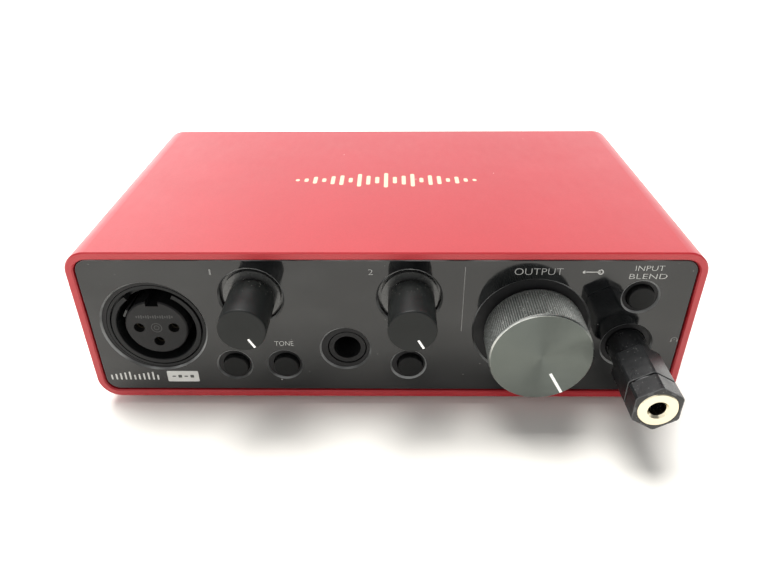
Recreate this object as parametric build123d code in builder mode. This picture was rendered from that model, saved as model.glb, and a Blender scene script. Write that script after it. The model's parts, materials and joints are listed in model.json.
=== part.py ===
from build123d import *
import os
from math import cos, radians, sin

# USB audio interface: one microphone input, one instrument input, two line outputs, headphones.
# Millimetres. X runs to the player's right, Y runs to the back, Z is up and is zero under the
# feet. "depth" is measured back from the front rim of the case, and "height" up from its underside.

# ---- Case ---------------------------------------------------------------------------------------
CASE_WIDTH = 143.5
CASE_HEIGHT = 41.3
CASE_DEPTH = 82.0
CASE_WALL = 1.9
CASE_CORNER_R = 5.3
FOOT_HEIGHT = 2.2
ADAPTER_REACH = 22.2  # plug adapter in front of the front rim
REAR_REACH = 1.6  # rear jack noses behind the rear rim
FRONT_Y = ADAPTER_REACH - (ADAPTER_REACH + CASE_DEPTH + REAR_REACH) / 2

INNER_X = CASE_WIDTH / 2 - CASE_WALL
INNER_TOP = CASE_HEIGHT - CASE_WALL
MID_HEIGHT = CASE_HEIGHT / 2

# ---- Front and rear panels ----------------------------------------------------------------------
PANEL_GAP = 0.3  # between a panel's edge and the case all round
PANEL_WIDTH = CASE_WIDTH - 2 * (CASE_WALL + PANEL_GAP)
PANEL_HEIGHT = CASE_HEIGHT - 2 * (CASE_WALL + PANEL_GAP)
PANEL_CORNER_R = CASE_CORNER_R - CASE_WALL - PANEL_GAP
FASCIA_FRONT = 0.5
FASCIA_BACK = 1.0
CARRIER_BACK = 5.8
REAR_PANEL_FRONT = 79.5
REAR_PANEL_BACK = 81.5

# ---- Screw channels and board rails of the extrusion --------------------------------------------
SCREW_X = 66.0
SCREW_LOW = 4.6
SCREW_HIGH = 36.6
CHANNEL_INNER_X = 63.8
CHANNEL_HOLE_R = 1.27
SCREW_SHANK_R = 1.25
SCREW_HEAD_R = 2.1
SCREW_LENGTH = 10.0
SCREW_XS = (-SCREW_X, SCREW_X)
SCREW_HEIGHTS = (SCREW_LOW, SCREW_HIGH)

# ---- Boards -------------------------------------------------------------------------------------
BOARD_T = 1.6
BOARD_BASE = 6.6
BOARD_TOP = BOARD_BASE + BOARD_T
BOARD_FRONT = 18.0
BOARD_REAR = 79.0
BOARD_HALF_WIDTH = 69.3
FRONT_BOARD_FRONT = 14.0
FRONT_BOARD_BACK = FRONT_BOARD_FRONT + BOARD_T
FRONT_BOARD_LEFT = -41.5
FRONT_BOARD_RIGHT = 66.6
FRONT_BOARD_LOW = 6.6
FRONT_BOARD_HIGH = 34.0
BOSS_R = 2.2
BOSS_SCREW_R = 0.98
SMALL_CLEARANCE_R = 1.15
BOSS_PLACES = ((-38.8, 18.5), (-17.5, 28.0), (16.5, 12.5), (17.5, 29.5), (46.5, 9.5), (50.8, 29.0))

# ---- Controls on the front: (sideways place, height) --------------------------------------------
BOARD_SHIFT = 0.4  # what is soldered to the boards sits this far to the right of its opening ...
IN_LINE_X = 57.0  # ... except right of this, at the headphone end, where the two are in line
GAIN_PLACES = {"gain_1": (-30.7, 29.5), "gain_2": (5.66, 29.3)}
GAIN_OPENING_R = 7.3
GAIN_KNOB_R = 5.3
GAIN_KNOB_FRONT = -12.9
GAIN_KNOB_BACK = -0.5
MONITOR_PLACE = (34.25, 20.7)
MONITOR_OPENING_R = 13.4
MONITOR_KNOB_R = 11.6
MONITOR_KNOB_FRONT = -10.7
MONITOR_KNOB_BACK = -0.2
POINTER_ANGLE = 150.0  # clockwise from straight up, at the clockwise stop
BUTTON_PLACES = {
    "phantom": (-36.8, 9.75),
    "tone": (-24.5, 9.85),
    "instrument": (5.7, 9.9),
    "direct": (58.2, 29.6),
}
BUTTON_OPENING_R = 4.05
BUTTON_R = 3.0
BUTTON_FRONT = -0.5
BUTTON_BACK = 8.0
SWITCH_FRONT = 10.0
SHAFT_R = 3.0
SHAFT_FLAT = 1.6  # from the axis to the flat of the D
RUNNING_GAP = 0.05

# ---- Sockets ------------------------------------------------------------------------------------
MIC_PLACE = (-54.7, 20.8)
MIC_AXIS = (-54.2, 20.6)  # the socket sits a little right of its opening and below it
MIC_OPENING_R = 12.26
MIC_FLANGE_R = 11.65
MIC_GROOVE_R = (10.5, 10.95)
MIC_CHANNEL_R = 9.4
MIC_CORE_R = 7.35
MIC_CONTACT_OFFSETS = ((-4.13, 0.0), (4.13, 0.0), (0.0, -3.95))
MIC_BACK = 26.0
MIC_PLATE_HALF = 12.4
MIC_PLATE_BACK = 7.8
MIC_SCREW_OFFSET = 10.0
MIC_SCREW_PLACES = (
    (MIC_AXIS[0] - MIC_SCREW_OFFSET, MIC_AXIS[1] + MIC_SCREW_OFFSET),
    (MIC_AXIS[0] + MIC_SCREW_OFFSET, MIC_AXIS[1] - MIC_SCREW_OFFSET),
)
INSTRUMENT_PLACE = (-9.5, 14.7)
PHONES_PLACE = (57.4, 16.0)
JACK_OPENING_R = 5.85
JACK_NOSE_R = 4.4
JACK_BORE_R = 3.25
JACK_FACE = 1.15
JACK_BODY_FRONT = 7.5
JACK_DEPTH = 33.4
JACK_HALF_WIDTH = 7.4
JACK_RISE = 6.6
LINE_OUT_XS = {"right": -22.0, "left": -46.0}
LINE_OUT_HEIGHT = 17.5
USB_X = 50.0
LOCK_SLOT_PLACE = (28.0, 21.0)

# ---- Plug adapter -------------------------------------------------------------------------------
HEX_CORNER_R = 5.85
HEX_FRONT = -22.05
HEX_GROOVE = (-17.0, -16.5)
HEX_BACK = -6.5
NECK_R = 4.5
PLUG_R = 3.175
NUT_R = 4.3
MINI_BORE_R = 1.8
MINI_BORE_BACK = -7.5

os.makedirs("parts", exist_ok=True)


def facing(x, height, depth):
    """A plane seen from the front: X to the right, Y up, positive normal towards the player."""
    centre = (x, FRONT_Y + depth, FOOT_HEIGHT + height)
    return Plane(origin=centre, x_dir=(1, 0, 0), z_dir=(0, -1, 0))


def level(height):
    """A horizontal plane at that height, its Y measured as depth."""
    return Plane(origin=(0, FRONT_Y, FOOT_HEIGHT + height), x_dir=(1, 0, 0), z_dir=(0, 0, 1))


def side_profile(x, height):
    """A vertical plane through an axis running front to back: X is depth, Y is distance from it."""
    return Plane(origin=(x, FRONT_Y, FOOT_HEIGHT + height), x_dir=(0, 1, 0), z_dir=(1, 0, 0))


def front_axis(x, height):
    """The axis through that place, running front to back."""
    return Axis((x, FRONT_Y, FOOT_HEIGHT + height), (0, 1, 0))


def bar(place, front, back, radius, mode=Mode.ADD):
    """A round bar or hole from one depth to another, about an axis running front to back."""
    with BuildSketch(facing(*place, front)) as outline:
        Circle(radius)
    extrude(outline.sketch, amount=front - back, mode=mode)


def block(place, front, back, width, height, mode=Mode.ADD, corner=0.0):
    """A rectangular block or pocket from one depth to another, centred on a place."""
    with BuildSketch(facing(*place, front)) as outline:
        if corner > 0:
            RectangleRounded(width, height, corner)
        else:
            Rectangle(width, height)
    extrude(outline.sketch, amount=front - back, mode=mode)


def save(part, name):
    """Label a finished piece and write its STEP file."""
    part.label = name
    export_step(part, f"parts/{name}.step")


def shifted(place):
    """A place on the panel moved to where the board-mounted piece really sits."""
    x, height = place
    return (x + BOARD_SHIFT, height) if x < IN_LINE_X else place


# ---- Outer sleeve: one aluminium extrusion with board rails and screw channels ------------------
UPPER_CHANNEL_BASE = 34.3
RAIL_SLOT = (BOARD_BASE - 0.1, BOARD_TOP + 0.1)
RAIL_LIP_TOP = RAIL_SLOT[1] + 1.3
RAIL_LIP_INNER_X = 67.0
RIM_CHAMFER = 0.3

with BuildPart() as outer_sleeve:
    with BuildSketch(facing(0, MID_HEIGHT, 0)):
        RectangleRounded(CASE_WIDTH, CASE_HEIGHT, CASE_CORNER_R)
    extrude(amount=-CASE_DEPTH)
    with BuildSketch(facing(0, MID_HEIGHT, 0)):
        RectangleRounded(2 * INNER_X, CASE_HEIGHT - 2 * CASE_WALL, CASE_CORNER_R - CASE_WALL)
    extrude(amount=-CASE_DEPTH, mode=Mode.SUBTRACT)
    end_faces = outer_sleeve.faces().filter_by(Axis.Y)
    chamfer(end_faces.edges(), length=RIM_CHAMFER)
    for side in (-1, 1):
        channel_width = INNER_X - CHANNEL_INNER_X + CASE_WALL / 2
        channel_x = side * (CHANNEL_INNER_X + channel_width / 2)
        lower_height = RAIL_SLOT[0] - CASE_WALL / 2
        upper_height = INNER_TOP + CASE_WALL / 2 - UPPER_CHANNEL_BASE
        lip_width = INNER_X - RAIL_LIP_INNER_X + CASE_WALL / 2
        with BuildSketch(facing(0, 0, CARRIER_BACK)):
            with Locations((channel_x, CASE_WALL / 2 + lower_height / 2)):
                Rectangle(channel_width, lower_height)
            with Locations((channel_x, UPPER_CHANNEL_BASE + upper_height / 2)):
                Rectangle(channel_width, upper_height)
            with Locations((side * (RAIL_LIP_INNER_X + lip_width / 2), (RAIL_SLOT[1] + RAIL_LIP_TOP) / 2)):
                Rectangle(lip_width, RAIL_LIP_TOP - RAIL_SLOT[1])
            with BuildSketch(mode=Mode.INTERSECT):
                with Locations((0, MID_HEIGHT)):
                    RectangleRounded(CASE_WIDTH - 1, CASE_HEIGHT - 1, CASE_CORNER_R - 0.5)
        extrude(amount=CARRIER_BACK - REAR_PANEL_FRONT)
    with BuildSketch(facing(0, 0, 0)):
        with Locations(*[(x, height) for x in SCREW_XS for height in SCREW_HEIGHTS]):
            Circle(CHANNEL_HOLE_R)
    extrude(amount=-CASE_DEPTH, mode=Mode.SUBTRACT)
save(outer_sleeve.part, "outer_sleeve")

# ---- Front carrier: moulded frame behind the fascia, with bosses for the front board ------------
CARRIER_SCREW_HOLE_R = 1.4
SCREW_RECESS_BACK = 2.9
MIC_SCREW_TIP = 2.4
SCREW_FIT = 0.02  # between a small screw and its hole
HALO_FLANGE_R = 8.1
HALO_POCKET_R = 8.4
HALO_FLANGE_BACK = 3.4
BUSHING_HOLE_R = 4.8
LIGHT_WINDOW_PLACE = (46.35, 36.2)
LIGHT_WINDOW = (3.3, 1.7)
LIGHT_PIPE = (3.2, 1.6)

with BuildPart() as front_carrier:
    block((0, MID_HEIGHT), FASCIA_BACK, CARRIER_BACK, PANEL_WIDTH, PANEL_HEIGHT, corner=PANEL_CORNER_R)
    for boss in BOSS_PLACES:
        bar(boss, CARRIER_BACK - 0.5, FRONT_BOARD_FRONT, BOSS_R)
        bar(boss, CARRIER_BACK, FRONT_BOARD_FRONT, BOSS_SCREW_R + SCREW_FIT, Mode.SUBTRACT)
    bar(MIC_AXIS, FASCIA_BACK, CARRIER_BACK, MIC_FLANGE_R + 0.15, Mode.SUBTRACT)
    for place in MIC_SCREW_PLACES:
        bar(place, MIC_SCREW_TIP - 0.2, CARRIER_BACK, BOSS_SCREW_R + SCREW_FIT, Mode.SUBTRACT)
    for place in GAIN_PLACES.values():
        bar(place, FASCIA_BACK, CARRIER_BACK, GAIN_OPENING_R + 0.05, Mode.SUBTRACT)
        bar(place, FASCIA_BACK + 1.2, CARRIER_BACK, HALO_POCKET_R, Mode.SUBTRACT)
    bar(shifted(MONITOR_PLACE), FASCIA_BACK, CARRIER_BACK, BUSHING_HOLE_R, Mode.SUBTRACT)
    for place in BUTTON_PLACES.values():
        bar(shifted(place), FASCIA_BACK, CARRIER_BACK, BUTTON_R + 0.25, Mode.SUBTRACT)
    for place in (shifted(INSTRUMENT_PLACE), PHONES_PLACE):
        bar(place, FASCIA_BACK, CARRIER_BACK, JACK_NOSE_R + 0.3, Mode.SUBTRACT)
    block(LIGHT_WINDOW_PLACE, FASCIA_BACK, CARRIER_BACK, *LIGHT_WINDOW, Mode.SUBTRACT)
    for x in SCREW_XS:
        for height in SCREW_HEIGHTS:
            bar((x, height), FASCIA_BACK, CARRIER_BACK, CARRIER_SCREW_HOLE_R, Mode.SUBTRACT)
            bar((x, height), FASCIA_BACK, SCREW_RECESS_BACK, SCREW_HEAD_R + 0.1, Mode.SUBTRACT)
save(front_carrier.part, "front_carrier")

# ---- Front fascia: glossy overlay with a fine chamfer round every opening -----------------------
FASCIA_OPENINGS = [(MIC_PLACE, MIC_OPENING_R), (MONITOR_PLACE, MONITOR_OPENING_R)]
FASCIA_OPENINGS += [(place, GAIN_OPENING_R) for place in GAIN_PLACES.values()]
FASCIA_OPENINGS += [(place, BUTTON_OPENING_R) for place in BUTTON_PLACES.values()]
FASCIA_OPENINGS += [(INSTRUMENT_PLACE, JACK_OPENING_R), (PHONES_PLACE, JACK_OPENING_R)]
OPENING_CHAMFER = 0.4
EDGE_CHAMFER = 0.12

with BuildPart() as front_fascia:
    block((0, MID_HEIGHT), FASCIA_FRONT, FASCIA_BACK, PANEL_WIDTH, PANEL_HEIGHT, corner=PANEL_CORNER_R)
    for place, radius in FASCIA_OPENINGS:
        bar(place, FASCIA_FRONT, FASCIA_BACK, radius, Mode.SUBTRACT)
    rounds = front_fascia.faces().sort_by(Axis.Y)[0].edges().filter_by(GeomType.CIRCLE)
    chamfer([edge for edge in rounds if edge.radius > PANEL_CORNER_R + 0.5], length=OPENING_CHAMFER)
    outline_edges = front_fascia.faces().sort_by(Axis.Y)[0].outer_wire().edges()
    chamfer(outline_edges, length=EDGE_CHAMFER)
save(front_fascia.part, "front_fascia")

# ---- Case screws: eight alike, four through each end into the channels --------------------------
HEAD_DEPTH = 1.5
DRIVE_R = 1.0
DRIVE_DEPTH = 0.9
SLOT_WIDTH = 0.4


def countersunk_screw(x, height, face_depth, inward):
    """A countersunk screw whose flat head is at face_depth and which runs along inward (+1 or -1)."""
    with BuildSketch(side_profile(x, height)) as half:
        with BuildLine():
            tip = face_depth + inward * SCREW_LENGTH
            neck = face_depth + inward * HEAD_DEPTH
            Polyline(
                (face_depth, 0),
                (face_depth, SCREW_HEAD_R),
                (face_depth + inward * 0.3, SCREW_HEAD_R),
                (neck, SCREW_SHANK_R),
                (tip - inward * 0.6, SCREW_SHANK_R),
                (tip, 0.7),
                (tip, 0),
                close=True,
            )
        make_face()
    revolve(half.sketch, axis=front_axis(x, height))
    with BuildSketch(facing(x, height, face_depth)) as drive:
        Rectangle(2 * DRIVE_R, SLOT_WIDTH)
        Rectangle(SLOT_WIDTH, 2 * DRIVE_R)
    extrude(drive.sketch, amount=-inward * DRIVE_DEPTH, mode=Mode.SUBTRACT)


with BuildPart() as case_screws:
    for x in SCREW_XS:
        for height in SCREW_HEIGHTS:
            countersunk_screw(x, height, FASCIA_BACK + 0.15, 1)
            countersunk_screw(x, height, REAR_PANEL_BACK - 0.05, -1)
save(case_screws.part, "case_screws")

# ---- Rear panel ---------------------------------------------------------------------------------
USB_HEIGHT = BOARD_TOP + 1.8
USB_WIDTH = 8.94
USB_TALL = 3.26
LOCK_SLOT_SIZE = (7.4, 3.4)
LINE_NOSE_R = 4.5

with BuildPart() as rear_panel:
    centre = (0, MID_HEIGHT)
    block(centre, REAR_PANEL_FRONT, REAR_PANEL_BACK, PANEL_WIDTH, PANEL_HEIGHT, corner=PANEL_CORNER_R)
    usb_opening = (USB_WIDTH + 0.6, USB_TALL + 0.6)
    block((USB_X, USB_HEIGHT), REAR_PANEL_FRONT, REAR_PANEL_BACK, *usb_opening, Mode.SUBTRACT, 1.9)
    block(LOCK_SLOT_PLACE, REAR_PANEL_FRONT, REAR_PANEL_BACK, *LOCK_SLOT_SIZE, Mode.SUBTRACT, 0.9)
    for x in LINE_OUT_XS.values():
        bar((x, LINE_OUT_HEIGHT), REAR_PANEL_FRONT, REAR_PANEL_BACK, LINE_NOSE_R + 0.1, Mode.SUBTRACT)
    for x in SCREW_XS:
        for height in SCREW_HEIGHTS:
            bar((x, height), REAR_PANEL_FRONT, REAR_PANEL_BACK, CARRIER_SCREW_HOLE_R, Mode.SUBTRACT)
            bar((x, height), REAR_PANEL_FRONT + 0.2, REAR_PANEL_BACK, SCREW_HEAD_R + 0.1, Mode.SUBTRACT)
save(rear_panel.part, "rear_panel")

# ---- Main board in the rails, and the upright front board on the carrier's bosses ---------------
with BuildPart() as main_board:
    with BuildSketch(level(BOARD_BASE)):
        with Locations((0, (BOARD_FRONT + BOARD_REAR) / 2)):
            Rectangle(2 * BOARD_HALF_WIDTH, BOARD_REAR - BOARD_FRONT)
    extrude(amount=BOARD_T)
save(main_board.part, "main_board")

with BuildPart() as front_board:
    board_centre = ((FRONT_BOARD_LEFT + FRONT_BOARD_RIGHT) / 2, (FRONT_BOARD_LOW + FRONT_BOARD_HIGH) / 2)
    board_size = (FRONT_BOARD_RIGHT - FRONT_BOARD_LEFT, FRONT_BOARD_HIGH - FRONT_BOARD_LOW)
    block(board_centre, FRONT_BOARD_FRONT, FRONT_BOARD_BACK, *board_size)
    for x, height in (shifted(INSTRUMENT_PLACE), PHONES_PLACE):
        top = height + JACK_RISE + 0.3
        low = BOARD_TOP - 0.3
        notch = (2 * JACK_HALF_WIDTH + 0.6, top - low)
        block((x, (top + low) / 2), FRONT_BOARD_FRONT, FRONT_BOARD_BACK, *notch, Mode.SUBTRACT)
    for boss in BOSS_PLACES:
        bar(boss, FRONT_BOARD_FRONT, FRONT_BOARD_BACK, SMALL_CLEARANCE_R, Mode.SUBTRACT)
save(front_board.part, "front_board")

# ---- Small screws: board to carrier bosses, and microphone socket to the carrier ----------------
SMALL_HEAD_R = 1.9
SMALL_HEAD_HEIGHT = 1.3
SMALL_DRIVE = 2.2


def pan_screw(place, seat_depth, tip_depth):
    """A pan-head screw driven forwards from behind, its head resting at seat_depth."""
    bar(place, tip_depth, seat_depth, BOSS_SCREW_R)
    top = seat_depth + SMALL_HEAD_HEIGHT
    bar(place, seat_depth, top, SMALL_HEAD_R)
    block(place, top - 0.7, top, SMALL_DRIVE, SLOT_WIDTH, Mode.SUBTRACT)
    block(place, top - 0.7, top, SLOT_WIDTH, SMALL_DRIVE, Mode.SUBTRACT)


with BuildPart() as small_screws:
    for boss in BOSS_PLACES:
        pan_screw(boss, FRONT_BOARD_BACK, CARRIER_BACK + 0.4)
    for place in MIC_SCREW_PLACES:
        pan_screw(place, MIC_PLATE_BACK, MIC_SCREW_TIP)
save(small_screws.part, "small_screws")

# ---- Board header: carries the signals between the two boards -----------------------------------
HEADER_X = (23.0, 41.0)
HEADER_TOP = 13.2
HEADER_BACK = 22.5
HEADER_SLOT_DEPTH = 19.5
HEADER_SLOT = (0.9, 3.2)
HEADER_SLOTS = 8

with BuildPart() as board_header:
    header_centre = ((HEADER_X[0] + HEADER_X[1]) / 2, (BOARD_TOP + HEADER_TOP) / 2)
    header_size = (HEADER_X[1] - HEADER_X[0], HEADER_TOP - BOARD_TOP)
    block(header_centre, FRONT_BOARD_BACK, HEADER_BACK, *header_size)
    with BuildSketch(level(HEADER_TOP)):
        with Locations((header_centre[0], HEADER_SLOT_DEPTH)):
            with GridLocations(2.0, 0, HEADER_SLOTS, 1):
                Rectangle(*HEADER_SLOT)
    extrude(amount=-1.5, mode=Mode.SUBTRACT)
save(board_header.part, "board_header")

# ---- Microphone socket: round shell, insulating core, three contacts and an earth spring --------
MIC_FACE = 0.95
MIC_RIM_FACE = 0.75
MIC_CORE_FACE = 0.8
MIC_BASE_FRONT = 16.0
RIM_GAP_ANGLES = (60.0, 125.0)
RIM_GAP_BACK = 3.4
KEYWAY = (3.0, 1.3)
KEYWAY_BACK = 12.0
CONTACT_HOLE_R = 1.3
CONTACT_FRONT = 2.6
CONTACT_BORE_R = 0.95
CONTACT_BORE_BACK = 15.0
CONTACT_SLIT = (0.35, 2.0)
CONTACT_SLIT_BACK = 9.0

with BuildPart() as xlr_shell:
    block(MIC_AXIS, CARRIER_BACK, MIC_PLATE_BACK, 2 * MIC_PLATE_HALF, 2 * MIC_PLATE_HALF, corner=1.5)
    bar(MIC_AXIS, CARRIER_BACK, MIC_PLATE_BACK, MIC_GROOVE_R[1], Mode.SUBTRACT)
    for place in MIC_SCREW_PLACES:
        bar(place, CARRIER_BACK, MIC_PLATE_BACK, SMALL_CLEARANCE_R, Mode.SUBTRACT)
    with BuildSketch(side_profile(*MIC_AXIS)) as shell_half:
        with BuildLine():
            Polyline(
                (MIC_RIM_FACE, MIC_CHANNEL_R + 0.15),
                (MIC_RIM_FACE + 0.15, MIC_CHANNEL_R),
                (MIC_BACK, MIC_CHANNEL_R),
                (MIC_BACK, MIC_FLANGE_R),
                (MIC_FACE, MIC_FLANGE_R),
                (MIC_FACE, MIC_GROOVE_R[1]),
                (MIC_FACE + 1.2, MIC_GROOVE_R[1]),
                (MIC_FACE + 1.2, MIC_GROOVE_R[0]),
                (MIC_RIM_FACE, MIC_GROOVE_R[0]),
                close=True,
            )
        make_face()
    revolve(shell_half.sketch, axis=front_axis(*MIC_AXIS))
    gap_outer = (MIC_GROOVE_R[0] + MIC_GROOVE_R[1]) / 2
    gap_start, gap_end = RIM_GAP_ANGLES
    with BuildSketch(facing(*MIC_AXIS, MIC_RIM_FACE - 0.2)) as rim_gap:
        with BuildLine():
            outer_arc = CenterArc((0, 0), gap_outer, gap_start, gap_end - gap_start)
            inner_arc = CenterArc((0, 0), MIC_CHANNEL_R - 1.0, gap_start, gap_end - gap_start)
            Line(outer_arc @ 0, inner_arc @ 0)
            Line(outer_arc @ 1, inner_arc @ 1)
        make_face()
    extrude(rim_gap.sketch, amount=MIC_RIM_FACE - 0.2 - RIM_GAP_BACK, mode=Mode.SUBTRACT)
save(xlr_shell.part, "xlr_shell")

with BuildPart() as xlr_insert:
    bar(MIC_AXIS, MIC_CORE_FACE, MIC_BASE_FRONT, MIC_CORE_R)
    bar(MIC_AXIS, MIC_BASE_FRONT, MIC_BACK, MIC_CHANNEL_R - 0.02)
    core_face = xlr_insert.faces().sort_by(Axis.Y)[0]
    chamfer(core_face.edges(), length=0.3)
    keyway_place = (MIC_AXIS[0], MIC_AXIS[1] + MIC_CORE_R - KEYWAY[1] / 2 + 0.2)
    block(keyway_place, MIC_CORE_FACE, KEYWAY_BACK, KEYWAY[0], KEYWAY[1] + 0.4, Mode.SUBTRACT)
    for dx, dz in MIC_CONTACT_OFFSETS:
        bar((MIC_AXIS[0] + dx, MIC_AXIS[1] + dz), MIC_CORE_FACE, MIC_BACK, CONTACT_HOLE_R, Mode.SUBTRACT)
save(xlr_insert.part, "xlr_insert")

with BuildPart() as xlr_contacts:
    for dx, dz in MIC_CONTACT_OFFSETS:
        contact_place = (MIC_AXIS[0] + dx, MIC_AXIS[1] + dz)
        bar(contact_place, CONTACT_FRONT, MIC_BACK + 1.5, CONTACT_HOLE_R - 0.01)
        bar(contact_place, CONTACT_FRONT, CONTACT_BORE_BACK, CONTACT_BORE_R, Mode.SUBTRACT)
        block(contact_place, CONTACT_FRONT, CONTACT_SLIT_BACK, *CONTACT_SLIT, Mode.SUBTRACT)
save(xlr_contacts.part, "xlr_contacts")

SPRING_ANGLE = 152.0
SPRING_R = MIC_CORE_R + 0.45
SPRING_FRONT = 1.4

with BuildPart() as xlr_ground_spring:
    spring_place = (
        MIC_AXIS[0] + SPRING_R * cos(radians(SPRING_ANGLE)),
        MIC_AXIS[1] + SPRING_R * sin(radians(SPRING_ANGLE)),
    )
    with BuildSketch(facing(*spring_place, SPRING_FRONT)):
        Rectangle(0.5, 2.0, rotation=SPRING_ANGLE)
    extrude(amount=SPRING_FRONT - MIC_BASE_FRONT)
save(xlr_ground_spring.part, "xlr_ground_spring")

# ---- 6.35 mm jack sockets: two on the front, two on the back ------------------------------------
JACK_CONTACT = (0.5, 2.4)  # thickness and width of a contact leaf
CONTACT_DEPTHS = ((8.5, 14.0), (15.5, 22.0), (23.5, 31.0))  # back from the jack's nose


def jack_socket(place, face, inward, nose_r, body_start):
    """A jack housing whose nose is at depth face and whose bore runs along inward (+1 or -1)."""
    x, height = place
    back = face + inward * (JACK_DEPTH + 1.5)
    top = height + JACK_RISE
    near, far = sorted((body_start, back))
    block((x, (top + BOARD_TOP) / 2), near, far, 2 * JACK_HALF_WIDTH, top - BOARD_TOP)
    bar(place, *sorted((face, body_start + inward * 1.0)), nose_r)
    bar(place, *sorted((face, face + inward * JACK_DEPTH)), JACK_BORE_R, Mode.SUBTRACT)
    for start, end in CONTACT_DEPTHS:
        pocket = sorted((face + inward * start, face + inward * end))
        for side in (-1, 1):
            pocket_x = x + side * (JACK_HALF_WIDTH - JACK_CONTACT[0] / 2)
            block((pocket_x, height), *pocket, JACK_CONTACT[0], JACK_CONTACT[1] + 0.4, Mode.SUBTRACT)


def jack_leaves(place, face, inward):
    """The contact leaves that lie in one housing's side pockets."""
    x, height = place
    for start, end in CONTACT_DEPTHS:
        leaf = sorted((face + inward * (start + 0.1), face + inward * (end - 0.1)))
        for side in (-1, 1):
            leaf_x = x + side * (JACK_HALF_WIDTH - JACK_CONTACT[0] / 2)
            block((leaf_x, height), *leaf, JACK_CONTACT[0], JACK_CONTACT[1])


REAR_FACE = CASE_DEPTH + REAR_REACH
JACKS = {
    "instrument_jack": (shifted(INSTRUMENT_PLACE), JACK_FACE, 1, JACK_NOSE_R, JACK_BODY_FRONT),
    "headphone_jack": (PHONES_PLACE, JACK_FACE, 1, JACK_NOSE_R, JACK_BODY_FRONT),
}
for channel, x in LINE_OUT_XS.items():
    line_place = (x, LINE_OUT_HEIGHT)
    JACKS[f"line_output_{channel}"] = (line_place, REAR_FACE, -1, LINE_NOSE_R, REAR_PANEL_FRONT)

for name, layout in JACKS.items():
    with BuildPart() as jack:
        jack_socket(*layout)
    save(jack.part, name)

with BuildPart() as jack_contacts:
    for layout in JACKS.values():
        jack_leaves(*layout[:3])
save(jack_contacts.part, "jack_contacts")

NUT_FLATS = 12.0
with BuildPart() as jack_nuts:
    for x in LINE_OUT_XS.values():
        with BuildSketch(facing(x, LINE_OUT_HEIGHT, REAR_PANEL_BACK)):
            RegularPolygon(NUT_FLATS / 2, 6, major_radius=False)
            Circle(LINE_NOSE_R + 0.02, mode=Mode.SUBTRACT)
        extrude(amount=-1.6)
save(jack_nuts.part, "jack_nuts")

# ---- Halo light rings round the gain knobs, and the light pipe behind the status icon -----------
HALO_FACE = FASCIA_BACK - 0.1
HALO_INNER_R = 4.6
HALO_OUTER_R = 6.6
HALO_SHIFT = 0.15  # to the right of its opening
LEG = (1.0, 2.0)
LED_GAP = 0.3

for name, (x, height) in GAIN_PLACES.items():
    halo_place = (x + HALO_SHIFT, height)
    with BuildPart() as halo:
        bar(halo_place, HALO_FACE, HALO_FLANGE_BACK, HALO_OUTER_R)
        bar(halo_place, FASCIA_BACK + 1.3, HALO_FLANGE_BACK, HALO_FLANGE_R)
        bar(halo_place, HALO_FACE, HALO_FLANGE_BACK, HALO_INNER_R, Mode.SUBTRACT)
        for side in (-1, 1):
            leg_place = (halo_place[0] + side * (HALO_OUTER_R - LEG[0] / 2), height)
            block(leg_place, HALO_FLANGE_BACK - 0.1, FRONT_BOARD_FRONT - LED_GAP, *LEG)
    save(halo.part, f"{name}_halo")

with BuildPart() as usb_light_pipe:
    block(LIGHT_WINDOW_PLACE, FASCIA_BACK, FRONT_BOARD_FRONT - LED_GAP, *LIGHT_PIPE)
    pipe_drop = (LIGHT_WINDOW_PLACE[0], LIGHT_WINDOW_PLACE[1] - 2.5)
    block(pipe_drop, FRONT_BOARD_FRONT - LED_GAP - 1.6, FRONT_BOARD_FRONT - LED_GAP, LIGHT_PIPE[0], 5.0)
save(usb_light_pipe.part, "usb_light_pipe")

# ---- Rotary controls: potentiometer body, turning shaft, knob and inlaid pointer ----------------
MONITOR_BEVEL = 0.3
POT_BUSHING_R = 4.2
SHAFT_BACK = 12.5


def pot_body(place, front, width, height):
    """A potentiometer soldered to the front board, bored for its shaft."""
    block(place, front, FRONT_BOARD_FRONT, width, height)
    bar(place, front - 1.4, front, POT_BUSHING_R)
    bar(place, front - 1.4, SHAFT_BACK + 0.3, SHAFT_R + RUNNING_GAP, Mode.SUBTRACT)


def d_shaft(place, front, back, growth=0.0, mode=Mode.ADD):
    """A bar, or a hole grown by that much, with a D section whose flat faces right."""
    radius = SHAFT_R + growth
    with BuildSketch(facing(*place, front)) as outline:
        Circle(radius)
        with Locations((SHAFT_FLAT + growth + radius, 0)):
            Rectangle(2 * radius, 4 * radius, mode=Mode.SUBTRACT)
    extrude(outline.sketch, amount=front - back, mode=mode)


def pointer_line(place, depth, start, end, width, thickness, mode=Mode.ADD):
    """The straight inlay that shows where a knob is turned to."""
    length = end - start
    along = (start + end) / 2
    direction = radians(POINTER_ANGLE)
    centre = (along * sin(direction), along * cos(direction))
    with BuildSketch(facing(*place, depth)) as outline:
        with Locations(Location((centre[0], centre[1], 0), (0, 0, 90 - POINTER_ANGLE))):
            Rectangle(length, width)
    extrude(outline.sketch, amount=-thickness, mode=mode)


GAIN_SHAFT_FRONT = -7.0
MONITOR_SHAFT_FRONT = -6.0
SHAFT_FIT = 0.02
GAIN_POINTER = (2.5, 5.0, 0.5, 0.4)  # start, end, width, thickness
MONITOR_POINTER = (5.05, MONITOR_KNOB_R - MONITOR_BEVEL, 0.65, 0.4)

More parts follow.
